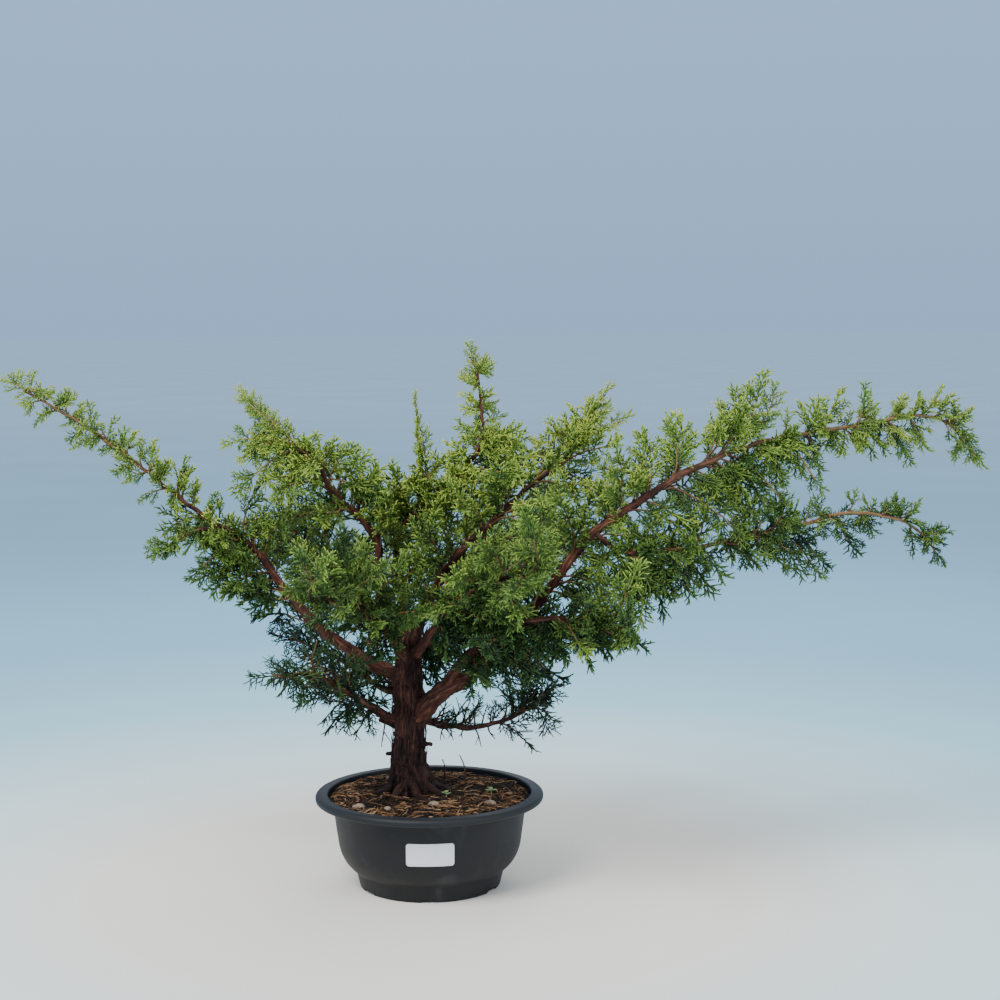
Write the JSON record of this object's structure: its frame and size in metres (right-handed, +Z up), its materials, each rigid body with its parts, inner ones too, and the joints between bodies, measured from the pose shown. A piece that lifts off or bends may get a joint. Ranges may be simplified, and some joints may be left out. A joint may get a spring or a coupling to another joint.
{
  "type": "bonsai tree in a pot",
  "caption": "Juniper bonsai with spreading limbs and scale-leaf sprays, rooted in a round plastic training pot that stands on its flat foot.",
  "frame": {"origin": "middle of the flat pad under the pot, on the surface that the pot stands on", "axes": "+Z up; the branches spread widest along X; the front of the tree, with the label on the pot, faces -Y"},
  "size_m": [0.9689, 0.4214, 0.5447],
  "materials": {
    "pot_plastic": "satin",
    "label_paper": "satin",
    "soil": "matte",
    "pebble": "matte",
    "litter": "matte",
    "bark": "matte",
    "young_bark": "matte",
    "foliage": "matte",
    "seedling": "matte"
  },
  "bodies": {
    "root": {"bark_chip_front": "litter", "bark_chip_left": "litter", "bark_chip_right": "litter", "dry_stalk_back": "litter", "dry_stalk_right": "litter", "fallen_twig": "litter", "label_plate": "label_paper", "limb_back_left": "young_bark", "limb_back_right": "young_bark", "limb_centre_apex": "young_bark", "limb_centre_right": "young_bark", "limb_front_left": "young_bark", "limb_front_right": "young_bark", "limb_left_low": "young_bark", "limb_left_main": "bark", "limb_left_mid": "young_bark", "limb_left_spray": "young_bark", "limb_right_inner": "young_bark", "limb_right_low": "young_bark", "limb_right_main": "bark", "limb_right_second": "young_bark", "limb_upper_left": "young_bark", "pebble_front": "pebble", "pebble_left": "pebble", "pebble_middle": "pebble", "pebble_right": "pebble", "pot": "pot_plastic", "seedling_narrow": "seedling", "seedling_round": "seedling", "soil": "soil", "spray_apex_front": "foliage", "spray_apex_tip": "foliage", "spray_back_left": "foliage", "spray_back_right": "foliage", "spray_centre_back": "foliage", "spray_centre_crown": "foliage", "spray_front_left": "foliage", "spray_front_right": "foliage", "spray_inner_right": "foliage", "spray_left_arch": "foliage", "spray_left_crest": "foliage", "spray_left_droop": "foliage", "spray_left_inner": "foliage", "spray_left_middle": "foliage", "spray_left_tip": "foliage", "spray_low_left": "foliage", "spray_low_left_hang": "foliage", "spray_low_right": "foliage", "spray_mid_left": "foliage", "spray_right_crest": "foliage", "spray_right_shoulder": "foliage", "spray_right_side": "foliage", "spray_right_tip": "foliage", "spray_second_side": "foliage", "spray_second_tip": "foliage", "spray_upper_left_crown": "foliage", "spray_upper_left_front": "foliage", "spray_upper_left_side": "foliage", "spray_upper_left_sprout": "foliage", "trunk": "bark"}
  },
  "joints": []
}
